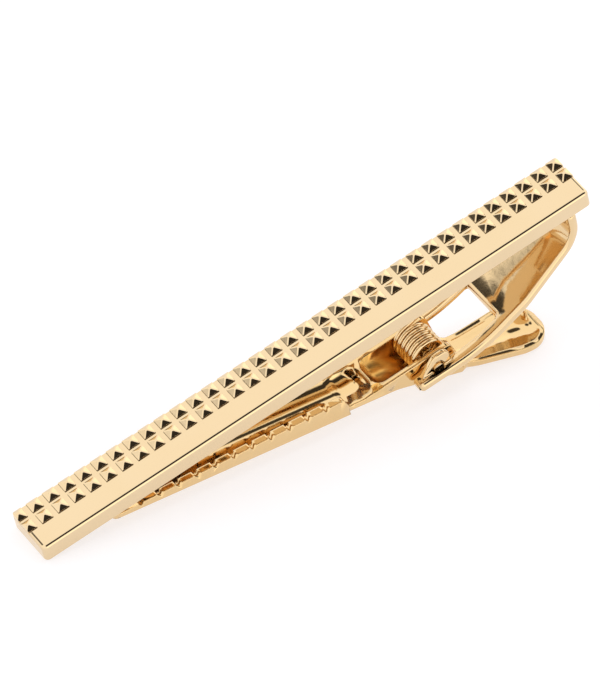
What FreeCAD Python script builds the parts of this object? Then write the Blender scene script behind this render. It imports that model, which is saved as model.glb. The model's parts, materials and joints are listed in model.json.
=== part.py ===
"""Tie clip: a cast bar with two rows of square studs, a soldered hook bracket, a sprung toothed lever.

Every piece is first drawn in the bar's own frame: X runs along the bar from its left end, Y to the back,
Z up, and Z = 0 is the bar's underside. A drop is a depth below that underside. The whole clip is then laid
on a table, as it lies when put down: on the lower edge of the bar's left end and on the lever's thumb pad.
"""
import FreeCAD, Part
import math
import os

Vector = FreeCAD.Vector

# Bar, millimetres
BAR_LENGTH = 58.8
BAR_WIDTH = 5.2
BAR_THICKNESS = 1.9
BAR_CORNER_R = 0.45
BAR_TOP_R = 0.4
BAR_BOTTOM_R = 0.15

# Studs on the back of the bar, behind the plain polished band
BAND_WIDTH = 2.4
FIELD_DROP = 0.1
FIELD_LEAD = 0.15
STUD_COLUMNS = 35
STUD_ROWS = 2
STUD_ROW_PITCH = 1.53
STUD_BASE = 1.16
STUD_TIP = 0.3
STUD_HEIGHT = 0.26
STUD_RIDGE = 0.07
STUD_ROOT = 0.25
STUD_END_INSET = 0.03
FIRST_STUD_OVERHANG = 0.18
STUD_PITCH = (BAR_LENGTH + FIRST_STUD_OVERHANG - STUD_BASE) / (STUD_COLUMNS - 1)

# Hook bracket under the bar's right end, and the hinge pin that its arms carry
STRIP = 1.0
HOOK_INSET = 1.6
HOOK_REACH = 16.8
HOOK_TOP_R = 0.5
HOOK_BEND_R = 3.0
HOOK_TURN_DROP = 3.5
WEB_SLOPE = math.radians(22.3)
ARM_BEND_R = 14.0
ARM_TIP_REACH = 2.5
ARM_TIP_R = 0.42
ARM_CORNER_R = 0.5
BRACKET_TOP_HALF = 2.5
BRACKET_ARM_HALF = 3.7
TAPER_LENGTH = 7.2
TAPER_R = 5.0
SLOT_HALF = 2.4
SLOT_REACH = 7.0
SLOT_CORNER_R = 0.3
FOOT_LENGTH = 5.7
FOOT_HALF = 1.9
EAR_THICKNESS = 0.6
EAR_R = 1.45
EAR_FOOT_INSET = 0.3
EAR_LEAN = 0.2
EAR_FRONT_R = 1.2
EAR_BACK_R = 0.9
PIN_DROP = 7.4
PIN_R = 0.5
PIN_STAND_OUT = 0.15
PIN_RUNNING_GAP = 0.04
ARM_UNDER_PIN = 1.2
HOOK_X = BAR_LENGTH - HOOK_INSET
PIN_X = HOOK_X - HOOK_REACH
PIN_HALF = SLOT_HALF + EAR_THICKNESS + PIN_STAND_OUT
ARM_DROP = PIN_DROP + ARM_UNDER_PIN

# Lever: reaches run along the bar from the hinge axis, rises and falls from the axis up and down
LEVER_FLOOR = 0.62
LEVER_EDGE_R = 0.5
LEVER_BEND_R = 6.0
GRIP_REACH = 33.4
GRIP_HALF = 2.5
GRIP_WALL = 0.55
GRIP_TIP_THICKNESS = 0.56
GRIP_TIP_CORNER_R = 1.0
GRIP_EDGE_R = 0.3
GRIP_REST_GAP = 0.06
GRIP_END_R = 0.5
TROUGH_TIP_WALL = 1.2
TROUGH_CORNER_R = 1.2
TEETH_INSET = 0.6
TEETH_END_REACH = 9.4
TEETH_END_RISE = 2.9
GRIP_STEP_RISE = 2.0
NOTCH_COUNT = 11
NOTCH_FIRST_INSET = 3.0
NOTCH_LAST_INSET = 1.8
NOTCH_WIDTH = 0.56
NOTCH_FLAT = 0.18
NOTCH_DEPTH = 0.34
GRIP_END_REACH = 9.1
GRIP_END_RISE = 0.4
BEND_REACH = 4.0
KNEE_REACH = 4.2
KNEE_FALL = 5.0
NECK_SIDE_GAP = 0.2
NECK_WALL = 0.5
NECK_RIM_RISE = 0.9
NECK_LAP = 0.3
NECK_REAR_REACH = 2.0
NECK_REAR_R = 0.6
POCKET_REACH = 5.7
POCKET_END_R = 1.0
POCKET_LIP = 0.45
TAIL_REACH = 2.7
TAIL_WALL = 0.95
TAIL_STEP_R = 0.5
WAIST_REACH = 3.4
WAIST_HALF = 1.8
WAIST_R = 0.4
WAIST_RIM = 0.45
PAD_REACH = 12.0
PAD_LENGTH = 3.2
FLARE_R = 2.0
PAD_FALL = 7.35
PAD_HALF = 2.8
PAD_CORNER_R = 1.9
PAD_RIM = 0.55
NECK_HALF = SLOT_HALF - NECK_SIDE_GAP
LEVER_TIP = (PIN_X - GRIP_REACH, GRIP_REST_GAP + GRIP_TIP_THICKNESS)
GRIP_END = (PIN_X - GRIP_END_REACH, PIN_DROP - GRIP_END_RISE)
LEVER_END = (PIN_X + PAD_REACH, PIN_DROP + PAD_FALL)
TEETH_START = (LEVER_TIP[0] + TEETH_INSET, GRIP_REST_GAP)
TEETH_END = (PIN_X - TEETH_END_REACH, PIN_DROP - TEETH_END_RISE)
NOTCH_FIRST_X = LEVER_TIP[0] + NOTCH_FIRST_INSET
NOTCH_PITCH = (TEETH_END[0] - NOTCH_LAST_INSET - NOTCH_FIRST_X) / (NOTCH_COUNT - 1)
NECK_RIM_DROP = PIN_DROP - NECK_RIM_RISE
FLARE_END_X = LEVER_END[0] - PAD_LENGTH
WAIST_X = PIN_X + WAIST_REACH
NECK_END_X = PIN_X + TAIL_REACH
POCKET_X = PIN_X - POCKET_REACH
GRIP_RUN = (LEVER_TIP, GRIP_END)
TEETH_RUN = (TEETH_START, TEETH_END)
GRIP_SLOPE = (GRIP_END[1] - LEVER_TIP[1]) / (GRIP_END[0] - LEVER_TIP[0])
NECK_START = (GRIP_END[0] - NECK_LAP, GRIP_END[1] - NECK_LAP * GRIP_SLOPE)
BEND = (PIN_X - BEND_REACH, GRIP_END[1] + (GRIP_END_REACH - BEND_REACH) * GRIP_SLOPE)
KNEE = (PIN_X + KNEE_REACH, PIN_DROP + KNEE_FALL)
TAIL_LINE = (NECK_START, BEND, KNEE, LEVER_END)

# Torsion spring
WIRE_D = 0.38
COIL_R = 1.64
COIL_PITCH = 1.1
COIL_TURNS = 2
STEPS_PER_TURN = 2
BAR_LEG_INSET = 3.8
TAIL_LEG_REACH = 6.8
TAIL_LEG_OFFSET = 0.8
LEG_GAP = 0.06
GAP_SAMPLES = 9

# Room by which cutting solids reach past what they cut, and the size below which two points are one
MARGIN = 5.0
SAME = 1e-6


def drop_on(line, x):
    """Drop at x on a line through (x, drop) points."""
    runs = list(zip(line, line[1:]))
    (x0, drop0, *_), (x1, drop1, *_) = next((run for run in runs if x < run[1][0]), runs[-1])
    return drop0 + (x - x0) * (drop1 - drop0) / (x1 - x0)


def lifted(line, height):
    """Corners (x, drop, radius) of a line lifted square to itself; its two ends keep their x."""
    slopes = [math.atan2(end[1] - start[1], end[0] - start[0]) for start, end in zip(line, line[1:])]
    corners = [(line[0][0], line[0][1] - height / math.cos(slopes[0]), 0)]
    for (x, drop), before, after in zip(line[1:], slopes, slopes[1:]):
        middle = (before + after) / 2
        reach = height / math.cos((after - before) / 2)
        radius = LEVER_BEND_R + math.copysign(height, after - before)
        corners.append((x + reach * math.sin(middle), drop - reach * math.cos(middle), radius))
    return corners + [(line[-1][0], line[-1][1] - height / math.cos(slopes[-1]), 0)]


def corner_arc(before, corner, after, radius):
    """Start, middle and end of the arc that rounds one corner of a polygon."""
    to_before = (before - corner).normalize()
    to_after = (after - corner).normalize()
    half = to_before.getAngle(to_after) / 2
    reach = radius / math.tan(half)
    middle = (to_before + to_after).normalize() * (radius / math.sin(half) - radius)
    return corner + to_before * reach, corner + middle, corner + to_after * reach


def rounded_face(corners, place):
    """Face inside a polygon of (u, v, radius) corners, put into space by place(u, v)."""
    points = [place(u, v) for u, v, _ in corners]
    count = len(points)
    arcs = [corner_arc(points[i - 1], points[i], points[(i + 1) % count], corners[i][2])
            for i in range(count)]
    outline = []
    for i in range(count):
        if corners[i][2]:
            outline.append(Part.Arc(*arcs[i]).toShape())
        start, stop = arcs[i][2], arcs[(i + 1) % count][0]
        if start.distanceToPoint(stop) > SAME:
            outline.append(Part.LineSegment(start, stop).toShape())
    return Part.Face(Part.Wire(outline))


def side_prism(corners, low_y, high_y):
    """Solid between two Y values with a side outline of (x, drop, radius) corners."""
    face = rounded_face(corners, lambda x, drop: Vector(x, low_y, -drop))
    return face.extrude(Vector(0, high_y - low_y, 0))


def plan_prism(corners, top, bottom):
    """Solid between two heights with a plan outline of (x, y, radius) corners."""
    face = rounded_face(corners, lambda x, y: Vector(x, y, bottom))
    return face.extrude(Vector(0, 0, top - bottom))


def both_sides(back_half):
    """Closed plan outline from its back half, given from left to right."""
    return back_half + [(x, -y, radius) for x, y, radius in reversed(back_half)]


def cross_rod(radius, half_length):
    """Round bar along the hinge axis."""
    return Part.makeCylinder(radius, 2 * half_length, Vector(PIN_X, -half_length, -PIN_DROP), Vector(0, 1, 0))


def make_bar():
    half = BAR_WIDTH / 2
    outline = both_sides([(0, half, BAR_CORNER_R), (BAR_LENGTH, half, BAR_CORNER_R)])
    blank = plan_prism(outline, BAR_THICKNESS, 0)
    top = [edge for edge in blank.Edges if all(abs(v.Z - BAR_THICKNESS) < SAME for v in edge.Vertexes)]
    bar = blank.makeFillet(BAR_TOP_R, top)
    low = [edge for edge in bar.Edges if all(abs(v.Z) < SAME for v in edge.Vertexes)]
    bar = bar.makeFillet(BAR_BOTTOM_R, low)
    field_front = BAND_WIDTH - half
    field = Part.makeBox(BAR_LENGTH, BAR_WIDTH, MARGIN,
                         Vector(0, field_front - FIELD_LEAD, BAR_THICKNESS - FIELD_DROP))
    stud_half = half - STUD_END_INSET
    inset = both_sides([(STUD_END_INSET, stud_half, BAR_CORNER_R),
                        (BAR_LENGTH - STUD_END_INSET, stud_half, BAR_CORNER_R)])
    clip = plan_prism(inset, BAR_THICKNESS + MARGIN, 0)
    studs = []
    for row in range(STUD_ROWS):
        for column in range(STUD_COLUMNS):
            x = column * STUD_PITCH - FIRST_STUD_OVERHANG + STUD_BASE / 2
            y = row * STUD_ROW_PITCH + field_front + STUD_BASE / 2
            studs.append(make_stud(x, y).common(clip))
    return bar.cut(field).multiFuse(studs).removeSplitter()


def make_stud(x, y):
    """Square stud: an upright foot sunk into the bar, under four facets with blunt ridges and a flat tip."""
    sunk = FIELD_DROP + STUD_ROOT
    half = STUD_BASE / 2
    tip = STUD_TIP / 2
    foot = Part.makeBox(STUD_BASE, STUD_BASE, sunk, Vector(-half, -half, -sunk))
    facets = Part.makeWedge(-half, 0, -half, -tip, -tip, half, STUD_HEIGHT, half, tip, tip)
    facets.rotate(Vector(), Vector(1, 0, 0), 90)
    ridges = [edge for edge in facets.Edges if edge.BoundBox.ZLength > SAME]
    facets = facets.makeChamfer(STUD_RIDGE, ridges)
    return foot.fuse(facets).translated(Vector(x, y, BAR_THICKNESS))


def make_bracket():
    fall = math.tan(WEB_SLOPE)
    arm_top = ARM_DROP - STRIP
    arm_tip_x = PIN_X - ARM_TIP_REACH
    wall_x = HOOK_X - STRIP
    inner_turn_drop = HOOK_TURN_DROP + STRIP * fall - STRIP / math.cos(WEB_SLOPE)
    outer_bend_x = HOOK_X - (ARM_DROP - HOOK_TURN_DROP) / fall
    inner_bend_x = wall_x - (arm_top - inner_turn_drop) / fall
    profile = [(wall_x, 0, 0), (HOOK_X, 0, HOOK_TOP_R), (HOOK_X, HOOK_TURN_DROP, HOOK_BEND_R),
               (outer_bend_x, ARM_DROP, ARM_BEND_R), (arm_tip_x, ARM_DROP, ARM_TIP_R),
               (arm_tip_x, arm_top, ARM_TIP_R), (inner_bend_x, arm_top, ARM_BEND_R - STRIP),
               (wall_x, inner_turn_drop, HOOK_BEND_R - STRIP)]
    outline = both_sides([(arm_tip_x, BRACKET_ARM_HALF, ARM_CORNER_R),
                          (HOOK_X - TAPER_LENGTH, BRACKET_ARM_HALF, TAPER_R), (HOOK_X, BRACKET_TOP_HALF, 0)])
    slot = both_sides([(arm_tip_x - MARGIN, SLOT_HALF, 0), (PIN_X + SLOT_REACH, SLOT_HALF, SLOT_CORNER_R)])
    bottom = -ARM_DROP - MARGIN
    hook = side_prism(profile, -BRACKET_ARM_HALF, BRACKET_ARM_HALF).common(plan_prism(outline, 0, bottom))
    hook = hook.cut(plan_prism(slot, 0, bottom))
    foot = Part.makeBox(FOOT_LENGTH, 2 * FOOT_HALF, STRIP, Vector(wall_x - FOOT_LENGTH, -FOOT_HALF, -STRIP))
    ear_base = arm_top + STRIP / 2
    ear = [(arm_tip_x + EAR_FOOT_INSET, ear_base, 0), (PIN_X - EAR_LEAN, PIN_DROP - EAR_R, EAR_FRONT_R),
           (PIN_X + EAR_R, PIN_DROP - EAR_R, EAR_BACK_R), (PIN_X + EAR_R, ear_base, 0)]
    back_ear = side_prism(ear, SLOT_HALF, SLOT_HALF + EAR_THICKNESS)
    front_ear = side_prism(ear, -SLOT_HALF - EAR_THICKNESS, -SLOT_HALF)
    bracket = hook.fuse([foot, back_ear, front_ear])
    return bracket.cut(cross_rod(PIN_R, PIN_HALF)).removeSplitter()


def make_lever():
    lever = make_grip().fuse(make_tail())
    lever = lever.cut(make_hollows())
    return lever.cut(cross_rod(PIN_R + PIN_RUNNING_GAP, PIN_HALF)).removeSplitter()


def make_grip():
    """Toothed end of the lever, solid."""
    tip_x = LEVER_TIP[0]
    end_x = GRIP_END[0]
    profile = [(tip_x, GRIP_REST_GAP, 0), (*TEETH_RUN[0], 0), (*TEETH_END, GRIP_END_R),
               (end_x, PIN_DROP - GRIP_STEP_RISE, 0), (*GRIP_END, 0), (*LEVER_TIP, 0)]
    grip = side_prism(profile, -GRIP_HALF, GRIP_HALF)
    grip = grip.makeFillet(GRIP_EDGE_R, underside_edges(grip, GRIP_RUN))
    outline = both_sides([(tip_x, GRIP_HALF, GRIP_TIP_CORNER_R), (end_x + MARGIN, GRIP_HALF, 0)])
    grip = grip.common(plan_prism(outline, 0, -LEVER_END[1]))
    return grip.cut([make_notch(NOTCH_FIRST_X + i * NOTCH_PITCH) for i in range(NOTCH_COUNT)])


def make_notch(x):
    """Tapered notch across both toothed edges."""
    edge = drop_on(TEETH_RUN, x)
    wide = NOTCH_WIDTH / 2
    flat = NOTCH_FLAT / 2
    profile = [(x - wide, edge - NOTCH_DEPTH, 0), (x + wide, edge - NOTCH_DEPTH, 0), (x + wide, edge, 0),
               (x + flat, edge + NOTCH_DEPTH, 0), (x - flat, edge + NOTCH_DEPTH, 0), (x - wide, edge, 0)]
    return side_prism(profile, -GRIP_HALF, GRIP_HALF)


def make_tail():
    """Neck round the spring and the thumb pad behind it, solid."""
    start = TAIL_LINE[0][0]
    rim = lifted(TAIL_LINE, TAIL_WALL)
    profile = [(start, NECK_RIM_DROP, 0), (PIN_X + NECK_REAR_REACH, NECK_RIM_DROP, NECK_REAR_R),
               (NECK_END_X, drop_on(rim, NECK_END_X), TAIL_STEP_R)] + rim[2:] + lifted(TAIL_LINE, 0)[::-1]
    outline = both_sides([(start, NECK_HALF, 0), (NECK_END_X, NECK_HALF, WAIST_R),
                          (WAIST_X, WAIST_HALF, WAIST_R), (FLARE_END_X, PAD_HALF, FLARE_R),
                          (LEVER_END[0], PAD_HALF, PAD_CORNER_R)])
    tail = side_prism(profile, -PAD_HALF, PAD_HALF).common(plan_prism(outline, 0, -LEVER_END[1] - MARGIN))
    return tail.makeFillet(LEVER_EDGE_R, underside_edges(tail, TAIL_LINE))


def underside_edges(solid, line):
    """Edges along a solid's underside, with the rounded end of the pad where the line reaches it."""
    low = [edge for edge in solid.Edges if all(abs(v.Z + drop_on(line, v.X)) < SAME for v in edge.Vertexes)]
    return [edge for edge in low if edge.BoundBox.XLength > SAME or edge.BoundBox.XMin > LEVER_END[0] - SAME]


def make_hollows():
    """Space above the lever's floor: the grip's trough, and the spring pocket that widens into the dish."""
    bottom = -LEVER_END[1]
    trough_x = LEVER_TIP[0] + TROUGH_TIP_WALL
    trough_half = GRIP_HALF - GRIP_WALL
    pocket_half = NECK_HALF - NECK_WALL
    trough = both_sides([(trough_x, trough_half, TROUGH_CORNER_R),
                         (POCKET_X - POCKET_LIP, pocket_half, POCKET_END_R)])
    dish_half = PAD_HALF - PAD_RIM
    dish_x = LEVER_END[0] - PAD_RIM
    pocket = both_sides([(POCKET_X, pocket_half, POCKET_END_R), (NECK_END_X, pocket_half, WAIST_R),
                         (WAIST_X, WAIST_HALF - WAIST_RIM, WAIST_R), (FLARE_END_X, dish_half, FLARE_R),
                         (dish_x, dish_half, PAD_CORNER_R - PAD_RIM)])
    return [above_floor((LEVER_TIP, BEND)).common(plan_prism(trough, 0, bottom)),
            above_floor(TAIL_LINE).common(plan_prism(pocket, 0, bottom))]


def above_floor(line):
    """Everything between the bar and the top of the lever's floor along a line of its underside."""
    profile = [(line[0][0], -MARGIN, 0), (line[-1][0], -MARGIN, 0)] + lifted(line, LEVER_FLOOR)[::-1]
    return side_prism(profile, -PAD_HALF, PAD_HALF)


def make_pin():
    return cross_rod(PIN_R, PIN_HALF)


def make_spring():
    """Coil on the hinge axis: one leg reaches up under the bar, the other down along the lever's tail."""
    centre = Vector(PIN_X, 0, -PIN_DROP)
    bar_end = Vector(HOOK_X - BAR_LEG_INSET, 0, -STRIP - LEG_GAP - WIRE_D / 2)
    tail_x = PIN_X + TAIL_LEG_REACH
    floor_drop = drop_on(lifted(TAIL_LINE, LEVER_FLOOR), tail_x)
    tail_end = Vector(tail_x, 0, LEG_GAP + WIRE_D / 2 - floor_drop)
    up = bar_end - centre
    down = tail_end - centre
    rise = math.atan2(up.z, up.x) - math.asin(COIL_R / up.Length)
    dip = math.atan2(-down.z, down.x) - math.asin(COIL_R / down.Length)
    sweep = 2 * math.pi * COIL_TURNS + math.pi - rise - dip
    steps = round(STEPS_PER_TURN * sweep / (2 * math.pi))
    width = COIL_PITCH * sweep / (2 * math.pi)
    points = []
    ways = []
    for i in range(steps + 1):
        angle = math.pi / 2 + rise + sweep * i / steps
        round_axis = Vector(math.cos(angle), 0, math.sin(angle)) * COIL_R
        points.append(centre + round_axis + Vector(0, width * (0.5 - i / steps), 0))
        lead = COIL_PITCH / (2 * math.pi * COIL_R)
        ways.append(Vector(-math.sin(angle), -lead, math.cos(angle)).normalize())
    bar_end.y = points[0].y
    tail_end.y = -TAIL_LEG_OFFSET
    ways[0] = (points[0] - bar_end).normalize()
    ways[-1] = (tail_end - points[-1]).normalize()
    curls = [arc for i in range(steps) for arc in biarc(points[i], ways[i], points[i + 1], ways[i + 1])]
    print("spring's least gap to itself:", round(least_gap(curls), 3), "mm")
    curves = [Part.LineSegment(bar_end, points[0])] + curls + [Part.LineSegment(points[-1], tail_end)]
    path = Part.Wire([curve.toShape() for curve in curves])
    profile = Part.Wire(Part.makeCircle(WIRE_D / 2, bar_end, points[0] - bar_end))
    return path.makePipeShell([profile], True, False)


def biarc(start, start_way, end, end_way):
    """Two arcs, tangent to each other, from one point and direction to another."""
    chord = end - start
    along = chord.dot(start_way + end_way)
    turn = 2 * (1 - start_way.dot(end_way))
    reach = (math.sqrt(along ** 2 + turn * chord.dot(chord)) - along) / turn
    first = start + start_way * reach
    second = end - end_way * reach
    join = (first + second) * 0.5
    return [tangent_arc(start, first, join), tangent_arc(join, second, end)]


def tangent_arc(start, corner, end):
    """Arc that leaves start towards corner and reaches end from corner."""
    middle = (start + end) * 0.5
    half = start.distanceToPoint(end) / 2
    rise = corner.distanceToPoint(middle)
    radius = half * start.distanceToPoint(corner) / rise
    sagitta = radius - math.sqrt(radius ** 2 - half ** 2)
    return Part.Arc(start, middle + (corner - middle) * (sagitta / rise), end)


def least_gap(curls):
    """Least gap between the wire's surfaces where it passes itself, half a turn or more further on."""
    points = []
    for curl in curls:
        edge = curl.toShape()
        span = edge.LastParameter - edge.FirstParameter
        points += [edge.valueAt(edge.FirstParameter + span * i / GAP_SAMPLES) for i in range(GAP_SAMPLES)]
    half_turn = STEPS_PER_TURN * GAP_SAMPLES
    gaps = [a.distanceToPoint(b) - WIRE_D for i, a in enumerate(points) for b in points[i + half_turn:]]
    return min(gaps)


def lie_angle():
    """Tilt at which the bar's lower left edge and the lower end of the pad both touch the table."""
    pad_slope = math.atan2(LEVER_END[1] - KNEE[1], LEVER_END[0] - KNEE[0])
    pad_lift = LEVER_EDGE_R * (1 / math.cos(pad_slope) + math.tan(pad_slope))
    pad_edge = Vector(LEVER_END[0] - LEVER_EDGE_R, 0, pad_lift - LEVER_END[1])
    bar_edge = Vector(BAR_BOTTOM_R, 0, BAR_BOTTOM_R)
    span = pad_edge - bar_edge
    return math.atan2(-span.z, span.x) + math.asin((LEVER_EDGE_R - BAR_BOTTOM_R) / span.Length)


def laid_down(shapes):
    """The shapes lying on the table, with the origin under the middle of the clip's box."""
    turn = FreeCAD.Rotation(Vector(0, 1, 0), -math.degrees(lie_angle()))
    lean = FreeCAD.Placement(Vector(), turn).toMatrix()
    leaning = {name: shape.transformed(lean) for name, shape in shapes.items()}
    box = Part.makeCompound(list(leaning.values())).optimalBoundingBox()
    shift = Vector(-(box.XMin + box.XMax) / 2, -(box.YMin + box.YMax) / 2, -box.ZMin)
    print("lie angle:", round(math.degrees(lie_angle()), 4), "shift:", shift)
    print("pin:", turn.multVec(Vector(PIN_X, 0, -PIN_DROP)) + shift)
    print("box:", box.XLength, box.YLength, box.ZLength)
    return {name: shape.translated(shift) for name, shape in leaning.items()}


def main():
    os.makedirs("parts", exist_ok=True)
    shapes = {
        "front_bar": make_bar(),
        "hinge_bracket": make_bracket(),
        "clip_lever": make_lever(),
        "hinge_pin": make_pin(),
        "torsion_spring": make_spring(),
    }
    for name, shape in laid_down(shapes).items():
        print(name, shape.isValid(), len(shape.Solids), round(shape.Volume, 3))
        shape.exportStep(f"parts/{name}.step")


main()
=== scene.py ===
# %% [markdown]
# # A gold tie clip
# The clip has a cast bar with a mirror band and two rows of small square studs, a bent bracket under its
# right end, and a toothed lever that a coil spring presses against the bar. The frame brings the five pieces
# in their sizes and places. So this lesson is about what a camera would see: the light, the gold, the soft
# edges, the pressed trough and the wound spring.

# %% Load the frame
import json
import math

import bpy
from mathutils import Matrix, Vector


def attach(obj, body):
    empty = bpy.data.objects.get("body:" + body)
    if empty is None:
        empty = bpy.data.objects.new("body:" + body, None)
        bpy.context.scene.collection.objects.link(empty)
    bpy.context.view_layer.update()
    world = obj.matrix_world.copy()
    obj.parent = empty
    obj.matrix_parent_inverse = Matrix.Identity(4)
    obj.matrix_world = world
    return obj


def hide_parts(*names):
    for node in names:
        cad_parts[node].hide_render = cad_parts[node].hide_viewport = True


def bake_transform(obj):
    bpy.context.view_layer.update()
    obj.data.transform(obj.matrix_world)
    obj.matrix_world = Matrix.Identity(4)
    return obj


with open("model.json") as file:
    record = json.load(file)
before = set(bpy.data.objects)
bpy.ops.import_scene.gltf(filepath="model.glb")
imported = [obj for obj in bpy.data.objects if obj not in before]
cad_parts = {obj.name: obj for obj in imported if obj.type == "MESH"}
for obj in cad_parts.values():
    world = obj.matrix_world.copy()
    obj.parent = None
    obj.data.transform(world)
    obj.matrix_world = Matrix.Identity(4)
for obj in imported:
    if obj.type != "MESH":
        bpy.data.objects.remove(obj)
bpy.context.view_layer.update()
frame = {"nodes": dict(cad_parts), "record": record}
bpy.context.scene.view_settings.view_transform = "Standard"
MM = 0.001
print("pieces in the frame:", sorted(frame["nodes"]))

# %% [markdown]
# ## The camera
# A jewellery photo is taken from far away with a long lens, so that the far end of a small thing isn't drawn
# smaller than the near end. From nearby with a short lens, the bar's edges would run together. The place and
# the turn below were found by matching the corners of the studs, and the lens follows from the picture's long
# side, 695 pixels, which is fitted to the sensor's 36 mm.

# %% Camera
SENSOR = 36.0
LENS = 413.33
NEAREST = 0.05
CAMERA_PLACE = (-0.308569, -0.395948, 0.497115)
CAMERA_TURN = (45.7360, -3.8387, -34.1522)
camera_data = bpy.data.cameras.new("studio_camera")
camera_data.sensor_width = SENSOR
camera_data.lens = LENS
camera_data.clip_start = NEAREST
camera = bpy.data.objects.new("studio_camera", camera_data)
camera.location = CAMERA_PLACE
camera.rotation_euler = [math.radians(angle) for angle in CAMERA_TURN]
bpy.context.scene.collection.objects.link(camera)
bpy.context.scene.camera = camera
print("camera stands", round(camera.location.length, 3), "m away")

# %% [markdown]
# ## The floor
# The clip lies on a sweep of white paper. Plain white paper would stay a little grey in this room, and
# enough light to turn it white would burn out the gold. So the paper is grey and glows by itself: it comes
# out white, still takes the clip's soft shadow, and no shadow on it can be darker than its glow.

# %% White sweep
SWEEP_SIZE = 6.0
SWEEP_GLOW = 0.62
PAPER_GREY = (0.45, 0.45, 0.47, 1)
PAPER_ROUGH = 0.9
GLOW_COLOUR = (1.0, 0.985, 1.0, 1)
bpy.ops.mesh.primitive_plane_add(size=SWEEP_SIZE)
sweep = bpy.context.object
sweep.name = "white_sweep"
sweep_paper = bpy.data.materials.new("sweep_paper")
sweep_paper.use_nodes = True
paper = sweep_paper.node_tree.nodes["Principled BSDF"]
paper.inputs["Base Color"].default_value = PAPER_GREY
paper.inputs["Roughness"].default_value = PAPER_ROUGH
paper.inputs["Specular IOR Level"].default_value = 0.0
paper.inputs["Emission Color"].default_value = GLOW_COLOUR
paper.inputs["Emission Strength"].default_value = SWEEP_GLOW
sweep.data.materials.append(sweep_paper)
print("sweep is", SWEEP_SIZE, "m wide and glows at", SWEEP_GLOW)

# %% [markdown]
# ## The room
# Polished gold has hardly any colour of its own: it shows the room, tinted. Lamps and black cards could be
# set up one by one, but for a small mirror almost only the direction counts, so the room is painted on the
# world instead. It is white all round, which makes the bright faces. Five dark places with soft borders make
# the dark facets, the thin lines and the streak in the trough, and two low lamps brighten the edges.

# %% Places in the room
# Each place: the direction to its middle, the angles in degrees at which it ends and has fully begun, and
# its brightness.
ROOM_PLACES = [
    ((0.02, -0.5, 0.866), 25, 15, 0.03),  # above the photographer: front facets, line along the bar's edge
    ((0.42, -0.48, 0.77), 18, 11, 0.04),  # right of it: lines on the lever's rims
    ((-0.66, 0.566, 0.5), 9, 5, 0.04),  # left back: left facets, the bracket's web
    ((-0.43, 0.566, 0.70), 10, 6, 0.05),  # higher at the left back: feet of the studs
    ((0.45, 0.566, 0.69), 13, 8, 0.05),  # right back: streak in the trough
    ((0.2, -0.97, 0.12), 26, 12, 1.5),  # low lamp in front
    ((0.85, 0.5, 0.15), 24, 12, 1.4),  # low lamp at the right back
]
print("places in the room:", len(ROOM_PLACES))

# %% How one place is painted
ROOM_WHITE = (1.0, 0.985, 0.965, 1)
WARM = (1.0, 0.9, 0.8)
# The sockets of a Mix node that mixes colours go by number, because several share a name.
MIX_SHARE = 0
MIX_A = 6
MIX_B = 7
MIX_RESULT = 2
room = bpy.data.worlds.new("white_room")
room.use_nodes = True
bpy.context.scene.world = room
nodes = room.node_tree.nodes
links = room.node_tree.links
nodes.clear()
way = nodes.new("ShaderNodeTexCoord")


def paint_place(walls, middle, ends, begun, shade):
    """Lay one place over the walls painted so far, or over plain white, and return the new walls."""
    towards = nodes.new("ShaderNodeVectorMath")
    towards.operation = "DOT_PRODUCT"
    towards.inputs[1].default_value = Vector(middle).normalized()
    edge = nodes.new("ShaderNodeMapRange")
    edge.interpolation_type = "SMOOTHSTEP"
    edge.inputs["From Min"].default_value = math.cos(math.radians(ends))
    edge.inputs["From Max"].default_value = math.cos(math.radians(begun))
    blend = nodes.new("ShaderNodeMix")
    blend.data_type = "RGBA"
    blend.inputs[MIX_A].default_value = ROOM_WHITE
    blend.inputs[MIX_B].default_value = (*[shade * part for part in WARM], 1)
    links.new(way.outputs["Generated"], towards.inputs[0])
    links.new(towards.outputs["Value"], edge.inputs["Value"])
    links.new(edge.outputs["Result"], blend.inputs[MIX_SHARE])
    if walls:
        links.new(walls, blend.inputs[MIX_A])
    return blend.outputs[MIX_RESULT]


print("made the world", room.name)

# %% Paint the room
ROOM_LIGHT = 1.22
walls = None
for place in ROOM_PLACES:
    walls = paint_place(walls, *place)
room_light = nodes.new("ShaderNodeBackground")
room_light.inputs["Strength"].default_value = ROOM_LIGHT
output = nodes.new("ShaderNodeOutputWorld")
links.new(walls, room_light.inputs["Color"])
links.new(room_light.outputs["Background"], output.inputs["Surface"])
print("room shines at", ROOM_LIGHT, "through", len(nodes), "nodes")

# %% [markdown]
# ## Gold
# Gold plate is a metal: all of its colour is in its reflections. Each piece was worked differently under its
# plate: the bar is polished to a mirror, the bracket tumbled, the lever pressed and left with a slight
# orange-peel, and the spring wire drawn through a die. The lever's pocket is left dull, and the shade and
# bounced light inside it are painted into its colour. Five materials could be built by hand, but then every
# change is made five times. So one function makes them all, with a slow drift of colour and polish and a
# shallow ripple. A Bevel node rounds the edges for the light, as wear does, and adds no faces.

# %% Worn edges and ripple
RIPPLE_DETAIL = 3.0
RIPPLE_DEPTH = 0.05 * MM
WORN_SAMPLES = 8


def add_node(tree, kind, sockets):
    """Add a node and set its sockets, given by name or number."""
    node = tree.nodes.new(kind)
    for socket, value in sockets.items():
        node.inputs[socket].default_value = value
    return node


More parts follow.
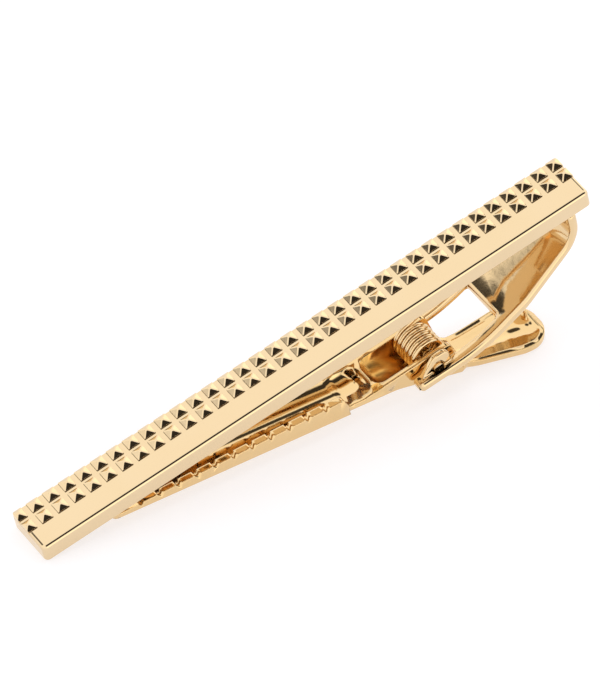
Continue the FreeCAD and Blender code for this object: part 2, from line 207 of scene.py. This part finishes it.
def worn_surface(tree, place, worn_edge, ripple, ripple_size):
    """Normals of a plated surface: edges worn round, and a shallow ripple."""
    fine = add_node(tree, "ShaderNodeTexNoise", {"Scale": ripple_size, "Detail": RIPPLE_DETAIL})
    worn = add_node(tree, "ShaderNodeBevel", {"Radius": worn_edge})
    worn.samples = WORN_SAMPLES
    bump = add_node(tree, "ShaderNodeBump", {"Strength": ripple, "Distance": RIPPLE_DEPTH})
    tree.links.new(place.outputs["Object"], fine.inputs["Vector"])
    tree.links.new(fine.outputs["Fac"], bump.inputs["Height"])
    tree.links.new(worn.outputs["Normal"], bump.inputs["Normal"])
    return bump.outputs["Normal"]


print("ripples are at most", RIPPLE_DEPTH / MM, "mm deep")

# %% Gold plate
DRIFT_SCALE = 180.0
DRIFT_DETAIL = 2.0
DRIFT_LOW = 0.3
DRIFT_HIGH = 0.7


def gold_plate(name, pale, deep, rough, worn_edge, ripple, ripple_size):
    """Gold whose colour and polish drift slowly over the piece."""
    gold = bpy.data.materials.new(name)
    gold.use_nodes = True
    tree = gold.node_tree
    shader = tree.nodes["Principled BSDF"]
    shader.inputs["Metallic"].default_value = 1.0
    place = tree.nodes.new("ShaderNodeTexCoord")
    drift = add_node(tree, "ShaderNodeTexNoise", {"Scale": DRIFT_SCALE, "Detail": DRIFT_DETAIL})
    tint = add_node(tree, "ShaderNodeMix", {MIX_A: (*pale, 1), MIX_B: (*deep, 1)})
    tint.data_type = "RGBA"
    polish = add_node(tree, "ShaderNodeMapRange", {"From Min": DRIFT_LOW, "From Max": DRIFT_HIGH,
                                                   "To Min": rough[0], "To Max": rough[1]})
    link = tree.links.new
    link(place.outputs["Object"], drift.inputs["Vector"])
    link(drift.outputs["Fac"], tint.inputs[MIX_SHARE])
    link(tint.outputs[MIX_RESULT], shader.inputs["Base Color"])
    link(drift.outputs["Fac"], polish.inputs["Value"])
    link(polish.outputs["Result"], shader.inputs["Roughness"])
    link(worn_surface(tree, place, worn_edge, ripple, ripple_size), shader.inputs["Normal"])
    print(name, "has edges worn by", round(worn_edge / MM, 3), "mm and a roughness of", rough)
    return gold


PALE_GOLD = (0.80, 0.635, 0.41)
DEEP_GOLD = (0.78, 0.60, 0.36)
mirror_gold = gold_plate("mirror_gold", PALE_GOLD, DEEP_GOLD, rough=(0.03, 0.07),
                         worn_edge=0.015 * MM, ripple=0.03, ripple_size=1500.0)

# %% Mirror on bar and pin
def finish(piece, gold):
    """Give a piece one gold and no other material."""
    piece.data.materials.clear()
    piece.data.materials.append(gold)


for node in ("front_bar", "hinge_pin"):
    finish(frame["nodes"][node], mirror_gold)
    print(node, "is now", mirror_gold.name)

# %% [markdown]
# ## The bracket
# The bracket is bent from strip and then tumbled in a drum of small stones until no edge is sharp. A sharp
# edge in a render catches no light. Rounding it in the shader alone would leave the outline sharp, and the
# CAD mesh itself is left alone. So a copy is made, its triangles are merged back into faces, and a real bevel
# rounds the edges that are steeper than a limit, which leaves the small facets of the bends as they are. A
# weight on each edge tells the bevel how far to go: less at the thin ears than on the strip.

# %% Copy the bracket
SAME_POINT = 0.0005 * MM
SAME_PLANE = math.radians(0.5)
RICH_GOLD = (0.80, 0.58, 0.31)


def merged_copy(node, name, gold, body):
    """A copy of a CAD piece, selected, with its triangles merged back into faces."""
    bpy.ops.object.select_all(action="DESELECT")
    piece = bpy.data.objects.new(name, frame["nodes"][node].data.copy())
    bpy.context.scene.collection.objects.link(piece)
    piece.select_set(True)
    bpy.context.view_layer.objects.active = piece
    bpy.ops.object.mode_set(mode="EDIT")
    bpy.ops.mesh.select_all(action="SELECT")
    bpy.ops.mesh.remove_doubles(threshold=SAME_POINT)
    bpy.ops.mesh.dissolve_limited(angle_limit=SAME_PLANE)
    bpy.ops.object.mode_set(mode="OBJECT")
    finish(piece, gold)
    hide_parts(node)
    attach(piece, body)
    print(name, "starts with", len(piece.data.polygons), "faces")
    return piece


tumbled_gold = gold_plate("tumbled_gold", DEEP_GOLD, RICH_GOLD, rough=(0.06, 0.13),
                          worn_edge=0.1 * MM, ripple=0.1, ripple_size=1800.0)
bracket = merged_copy("hinge_bracket", "rounded_bracket", tumbled_gold, "bar")

# %% How far each edge is rounded
SHARP = math.radians(38)
WIDEST_ROUND = 0.36 * MM
EAR_ROUND = 0.2 * MM
EAR_HALF = 3.1 * MM
EAR_REACH = 1.8 * MM
pin = Vector(frame["record"]["behaviour"]["joints"][0]["pos_m"])


def edge_sides(mesh):
    """The two faces at each edge of a closed mesh."""
    sides = {}
    for face in mesh.polygons:
        for key in face.edge_keys:
            sides.setdefault(key, []).append(face)
    return sides


mesh = bracket.data
sides = edge_sides(mesh)
weights = mesh.attributes.new("bevel_weight_edge", "FLOAT", "EDGE")
for edge in mesh.edges:
    first, second = sides[edge.key]
    middle = (mesh.vertices[edge.vertices[0]].co + mesh.vertices[edge.vertices[1]].co) / 2
    at_ear = middle.x < pin.x + EAR_REACH and abs(middle.y) < EAR_HALF
    if first.normal.angle(second.normal) > SHARP:
        weights.data[edge.index].value = (EAR_ROUND if at_ear else WIDEST_ROUND) / WIDEST_ROUND
print("edges to round:", sum(1 for weight in weights.data if weight.value > 0))

# %% Round the bracket
ROUND_STEPS = 4
SMOOTH = math.radians(40)
bevel = bracket.modifiers.new("tumbled", "BEVEL")
bevel.width = WIDEST_ROUND
bevel.segments = ROUND_STEPS
bevel.limit_method = "WEIGHT"
bevel.use_clamp_overlap = False
bpy.ops.object.modifier_apply(modifier="tumbled")
bpy.ops.object.shade_smooth_by_angle(angle=SMOOTH)
print("rounded bracket has", len(bracket.data.polygons), "faces")

# %% [markdown]
# ## The lever
# The lever is one sheet, pressed into a trough, with notches cut into its edges as teeth. Its faces are long,
# but its thumb pad and its shading need points along their length. A subdivision would give such points, and
# many more in every notch. So the copy is only cut across into strips: two to each notch, and closer and
# closer towards the end of the pad.

# %% Cut the lever into strips
FIRST_NOTCH = -18.25 * MM
NOTCH_PITCH = 1.947 * MM
PAD_LENGTH = 4.5 * MM
PAD_STRIPS = 16
WARM_GOLD = (0.80, 0.585, 0.31)
RED_GOLD = (0.79, 0.55, 0.26)
pressed_gold = gold_plate("pressed_gold", WARM_GOLD, RED_GOLD, rough=(0.05, 0.11),
                          worn_edge=0.22 * MM, ripple=0.08, ripple_size=1800.0)
lever = merged_copy("clip_lever", "pressed_lever", pressed_gold, "lever")
lever_end = max(vertex.co.x for vertex in lever.data.vertices)
strip_width = NOTCH_PITCH / 2
strip_count = int((lever_end - PAD_LENGTH - FIRST_NOTCH) / strip_width)
strips = [FIRST_NOTCH + (i + 0.5) * strip_width for i in range(strip_count)]
strips += [lever_end - PAD_LENGTH * (i / PAD_STRIPS) ** 2 for i in range(1, PAD_STRIPS)]
bpy.ops.object.mode_set(mode="EDIT")
for place in strips:
    bpy.ops.mesh.select_all(action="SELECT")
    bpy.ops.mesh.bisect(plane_co=(place, 0, 0), plane_no=(1, 0, 0))
bpy.ops.object.mode_set(mode="OBJECT")
print("cut at", len(strips), "places, the lever has", len(lever.data.polygons), "faces")

# %% [markdown]
# ## The trough between grip and pocket
# On the real lever one stroke of the press draws the whole trough, so it runs on from the toothed grip and
# fades out at the thin rim of the spring pocket. The CAD lever has a flat land there and a thick rim. The
# lever could be modelled anew, but only a few points are in the wrong place, so they are picked by boxes and
# moved: the land's floor is welded to the grip's floor, its outer edges rise into low walls, the rim is
# thinned, and the floor is tilted up to it.

# %% Cut the land
# Each box, in mm: along the clip, outwards from its middle, and up.
GRIP_END = ((3.5, 4.7), (-1, 2.55), (1.6, 3.3))
LAND = ((3.8, 4.7), (-1, 2.25), (2.19, 2.43))
FLOOR_HALF = 1.725 * MM
WALL_HALF = 1.8 * MM
THIN_CUT = 0.001 * MM


def pick(box):
    """Select the lever's points inside a box, alike on both sides of its middle, and stay in edit mode."""
    bpy.ops.object.mode_set(mode="EDIT")
    bpy.ops.mesh.select_mode(type="VERT")
    bpy.ops.mesh.select_all(action="DESELECT")
    bpy.ops.object.mode_set(mode="OBJECT")
    for vertex in lever.data.vertices:
        place = (vertex.co.x / MM, abs(vertex.co.y) / MM, vertex.co.z / MM)
        vertex.select = all(low < at < high for at, (low, high) in zip(place, box))
    bpy.ops.object.mode_set(mode="EDIT")


for side in (1, -1):
    pick(GRIP_END)
    bpy.ops.mesh.bisect(plane_co=(0, side * FLOOR_HALF, 0), plane_no=(0, 1, 0))
for side in (1, -1):
    pick(LAND)
    bpy.ops.mesh.bisect(plane_co=(0, side * WALL_HALF, 0), plane_no=(0, 1, 0), threshold=THIN_CUT)
bpy.ops.object.mode_set(mode="OBJECT")
print("land cut at", FLOOR_HALF / MM, "and", WALL_HALF / MM, "mm from the middle")

# %% Raise the walls of the land
LAND_CORNERS = ((3.8, 4), (1.7, 1.75), (2.19, 2.23))
FLOOR_CORNERS = ((3.8, 4), (1.7, 1.75), (2.3, 2.36))
WALL_START = ((3.8, 4), (1.78, 2.25), (2.19, 2.23))
WALL_NEXT = ((4.5, 4.7), (1.78, 2.25), (2.3, 2.5))
FLOOR_STEP = 0.14
WALL_RISE = 0.506
WALL_FADE = 0.273
WELD = 0.03 * MM
upward = Vector((-0.271, 0, 0.962)) * MM  # 1 mm, square to the bar's top
pick(LAND_CORNERS)
bpy.ops.transform.translate(value=FLOOR_STEP * upward)
pick(FLOOR_CORNERS)
bpy.ops.mesh.remove_doubles(threshold=WELD)
pick(WALL_START)
bpy.ops.transform.translate(value=WALL_RISE * upward)
pick(WALL_NEXT)
bpy.ops.transform.translate(value=(0, 0, WALL_FADE * MM))
bpy.ops.object.mode_set(mode="OBJECT")
print("walls raised by", WALL_RISE, "mm at the grip and", WALL_FADE, "mm after it")

# %% Thin the rim and tilt the floor
RIM = ((5.8, 7), (-1, 1.72), (2.3, 3.1))
FLOOR_BEGIN = ((4.3, 5), (-1, 1.73), (2.3, 2.405))
FLOOR_REST = ((5, 7.3), (-1, 1.73), (2.3, 2.5))
RIM_THIN = 0.28
FLOOR_PIVOT = (4.39 * MM, 0, 2.348 * MM)
FLOOR_TILT = math.radians(8)
along = Vector((0.962, 0, 0.271)) * MM  # 1 mm along the bar
pick(RIM)
bpy.ops.transform.translate(value=RIM_THIN * along)
for box in (FLOOR_BEGIN, FLOOR_REST):
    pick(box)
    bpy.ops.transform.rotate(value=FLOOR_TILT, orient_axis="Y", center_override=FLOOR_PIVOT)
bpy.ops.object.mode_set(mode="OBJECT")
floor_end = max(vertex.co.z for vertex in lever.data.vertices if vertex.select)
print("trough floor ends", round(floor_end / MM, 2), "mm above the table")

# %% [markdown]
# ## The thumb pad
# The lever's end is cut half round and pressed into a shallow spoon for the thumb. The CAD pad keeps a short
# straight end with round corners, on which the clip can lie still. A proportional edit could draw that end
# in with one move, but then its falloff decides the outline. So each row of points across the pad is drawn
# in to the width of a rounder curve, rim, dish and underside alike.

# %% Two outlines of the pad
PAD_CORNER = 1.9 * MM
PAD_ROUND = 2.8 * MM
PAD_TIP = 0.03 * MM
PAD_POWER = 2.2
pad_half = max(vertex.co.y for vertex in lever.data.vertices if vertex.co.x > lever_end - PAD_ROUND)


def cad_half(inward):
    """Half width of the CAD pad at a distance from its end: a straight end with round corners."""
    left = max(PAD_CORNER - inward, 0)
    return pad_half - PAD_CORNER + math.sqrt(PAD_CORNER ** 2 - left ** 2)


def round_half(inward):
    """Half width of the rounder pad there."""
    left = max(PAD_ROUND - max(inward, PAD_TIP), 0) / PAD_ROUND
    return pad_half * (1 - left ** PAD_POWER) ** (1 / PAD_POWER)


print("pad is", round(2 * pad_half / MM, 2), "mm wide")

# %% Round the thumb pad
ROW_DIGITS = 4
rows = {}
for vertex in lever.data.vertices:
    if vertex.co.x > lever_end - PAD_ROUND:
        rows.setdefault(round(vertex.co.x / MM, ROW_DIGITS), []).append(vertex.index)
bpy.ops.object.mode_set(mode="EDIT")
bpy.ops.mesh.select_mode(type="VERT")
for place, row in rows.items():
    inward = max(lever_end - place * MM, 0)
    draw_in = round_half(inward) / cad_half(inward)
    bpy.ops.mesh.select_all(action="DESELECT")
    bpy.ops.object.mode_set(mode="OBJECT")
    for index in row:
        lever.data.vertices[index].select = True
    bpy.ops.object.mode_set(mode="EDIT")
    bpy.ops.transform.resize(value=(1, draw_in, 1), center_override=(0, 0, 0))
bpy.ops.object.mode_set(mode="OBJECT")
print("rows drawn in:", len(rows))

# %% [markdown]
# ## A round trough
# Pressed sheet has no sharp corner between floor and wall, but the CAD trough has one. Rounding it in the
# mesh would take many more faces, so only its shading is made round: the hollow edges that run along the
# lever are not marked sharp, and floor and walls then share their normals there.

# %% Shade the lever
HOLLOW = 0.001 * MM
ACROSS = 0.8
bpy.ops.object.shade_smooth_by_angle(angle=SMOOTH)
mesh = lever.data
sides = edge_sides(mesh)
soft = 0
for edge in mesh.edges:
    first, second = sides[edge.key]
    run = (mesh.vertices[edge.vertices[1]].co - mesh.vertices[edge.vertices[0]].co).normalized()
    hollow = (second.center - first.center).dot(first.normal) > HOLLOW
    if hollow and abs(run.y) < ACROSS:
        edge.use_edge_sharp = False
        soft += 1
print("soft hollow edges:", soft)

# %% [markdown]
# ## Inside the pocket
# No polishing wheel reaches under the coil, so the plate in the spring pocket stays duller than outside.
# Light bounces from wall to wall there, and each bounce on gold makes it more orange. That shade and that
# bounced light are painted here: a dimmer room would dull the whole clip, so only the faces inside the pocket
# get a gold of their own, picked by their place, rougher and painted a deeper orange.

# %% Dull the pocket and paint its shade
POCKET_START = 7.15 * MM
POCKET_BEHIND_PIN = 2.4 * MM
POCKET_HALF = 1.71 * MM
UNDERSIDE = -0.3
# Deeper, more orange pocket colours: painted shade and painted light bounced between the walls.
PAINTED_BOUNCE_ORANGE = (0.88, 0.53, 0.17)
PAINTED_SHADE_BROWN = (0.82, 0.45, 0.11)
# A rougher gold for the pocket, with its shade painted into the colour.
dull_pocket_gold_painted_shade = gold_plate("dull_pocket_gold_painted_shade", PAINTED_BOUNCE_ORANGE, PAINTED_SHADE_BROWN, rough=(0.17, 0.3),
                         worn_edge=0.05 * MM, ripple=0.1, ripple_size=1800.0)
lever.data.materials.append(dull_pocket_gold_painted_shade)
dull_and_shaded = 0
# Faces inside the pocket take the gold with the painted shade.
for face in lever.data.polygons:
    along_pocket = POCKET_START < face.center.x < pin.x + POCKET_BEHIND_PIN
    if along_pocket and abs(face.center.y) < POCKET_HALF and face.normal.z > UNDERSIDE:
        face.material_index = 1
        dull_and_shaded += 1
print("faces inside the pocket:", dull_and_shaded)

# %% [markdown]
# ## The spring
# A torsion spring is wound cold from hard-drawn wire round a mandrel, turn against turn, and its two ends
# are left straight as legs. One leg pushes up under the bar's bracket, the other down on the lever's tail.
# A curve with a round bevel would also make a wire. Here a ring of the wire's section is turned and shifted
# along the pin by a screw modifier, as the winding machine does it, and the two open ends are then drawn
# out along the legs of the CAD spring.

# %% Where the legs end
WIRE_D = 0.46 * MM
wire_points = [vertex.co.copy() for vertex in frame["nodes"]["torsion_spring"].data.vertices]


def leg_end(extreme):
    """Middle of the wire's end that holds an extreme point of the CAD spring."""
    end = [point for point in wire_points if (point - extreme).length < WIRE_D]
    return sum(end, Vector()) / len(end)


bar_leg = leg_end(max(wire_points, key=lambda point: point.z))
tail_leg = leg_end(min(wire_points, key=lambda point: point.z))
print("legs end", [round(leg.z / MM, 2) for leg in (bar_leg, tail_leg)], "mm above the table")

# %% How far the wire turns
COIL_R = 1.64 * MM
COIL_PITCH = 0.54 * MM
COIL_TURNS = 5


def tangent_turn(leg):
    """Direction from the pin to a leg's end, and the angle there between that line and the leg."""
    reach = leg - pin
    away = math.hypot(reach.x, reach.z)
    return math.atan2(reach.z, reach.x), math.asin(COIL_R / away)


bar_way, bar_dip = tangent_turn(bar_leg)
tail_way, tail_dip = tangent_turn(tail_leg)
start_turn = bar_way - bar_dip + math.pi / 2
end_turn = tail_way + tail_dip - math.pi / 2
sweep_turn = 2 * math.pi * (COIL_TURNS + 1) + end_turn - start_turn
coil_width = COIL_PITCH * sweep_turn / (2 * math.pi)
print("turns:", round(sweep_turn / (2 * math.pi), 2), "coil width:", round(coil_width / MM, 2), "mm")

# %% Wind the spring
RING_POINTS = 14
STEPS_PER_TURN = 40
bpy.ops.object.select_all(action="DESELECT")
bpy.ops.mesh.primitive_circle_add(vertices=RING_POINTS, radius=WIRE_D / 2)
spring = bpy.context.object
spring.name = "wound_spring"
bpy.ops.object.mode_set(mode="EDIT")
bpy.ops.mesh.select_all(action="SELECT")
bpy.ops.transform.translate(value=(COIL_R, coil_width / 2, 0))
bpy.ops.object.mode_set(mode="OBJECT")
spring.rotation_euler = (0, -start_turn, 0)
bpy.ops.object.transform_apply(location=False, rotation=True, scale=False)
winding = spring.modifiers.new("winding", "SCREW")
winding.axis = "Y"
winding.angle = -sweep_turn
winding.screw_offset = -coil_width
winding.steps = winding.render_steps = round(STEPS_PER_TURN * sweep_turn / (2 * math.pi))
winding.use_merge_vertices = False
bpy.ops.object.modifier_apply(modifier="winding")
spring.location = pin
bpy.ops.object.transform_apply(location=True, rotation=False, scale=False)
print("coil vertices:", len(spring.data.vertices))

# %% Draw out the legs
def draw_leg(ring_start, leg):
    """Extrude the open ring of the coil that starts at a vertex to the end of its leg, and close it."""
    coil = spring.data
    for element in (*coil.polygons, *coil.edges, *coil.vertices):
        element.select = False
    ring = range(ring_start, ring_start + RING_POINTS)
    for index in ring:
        coil.vertices[index].select = True
    middle = sum((coil.vertices[index].co for index in ring), Vector()) / RING_POINTS
    bpy.ops.object.mode_set(mode="EDIT")
    bpy.ops.mesh.select_mode(type="VERT")
    bpy.ops.mesh.extrude_region_move(TRANSFORM_OT_translate={"value": leg - middle})
    bpy.ops.mesh.edge_face_add()
    bpy.ops.object.mode_set(mode="OBJECT")
    return (leg - middle).length / MM


last_ring = len(spring.data.vertices) - RING_POINTS
legs = [draw_leg(0, bar_leg), draw_leg(last_ring, tail_leg)]
print("legs:", [round(length, 2) for length in legs], "mm")

# %% Finish the spring
WIRE_SMOOTH = math.radians(50)
bpy.ops.object.mode_set(mode="EDIT")
bpy.ops.mesh.select_all(action="SELECT")
bpy.ops.mesh.normals_make_consistent(inside=False)
bpy.ops.object.mode_set(mode="OBJECT")
bpy.ops.object.shade_smooth_by_angle(angle=WIRE_SMOOTH)
drawn_gold = gold_plate("drawn_gold", DEEP_GOLD, RICH_GOLD, rough=(0.05, 0.1),
                        worn_edge=0.01 * MM, ripple=0.05, ripple_size=4000.0)
finish(spring, drawn_gold)
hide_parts("torsion_spring")
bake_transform(spring)
print("wound spring has", len(spring.data.polygons), "faces")
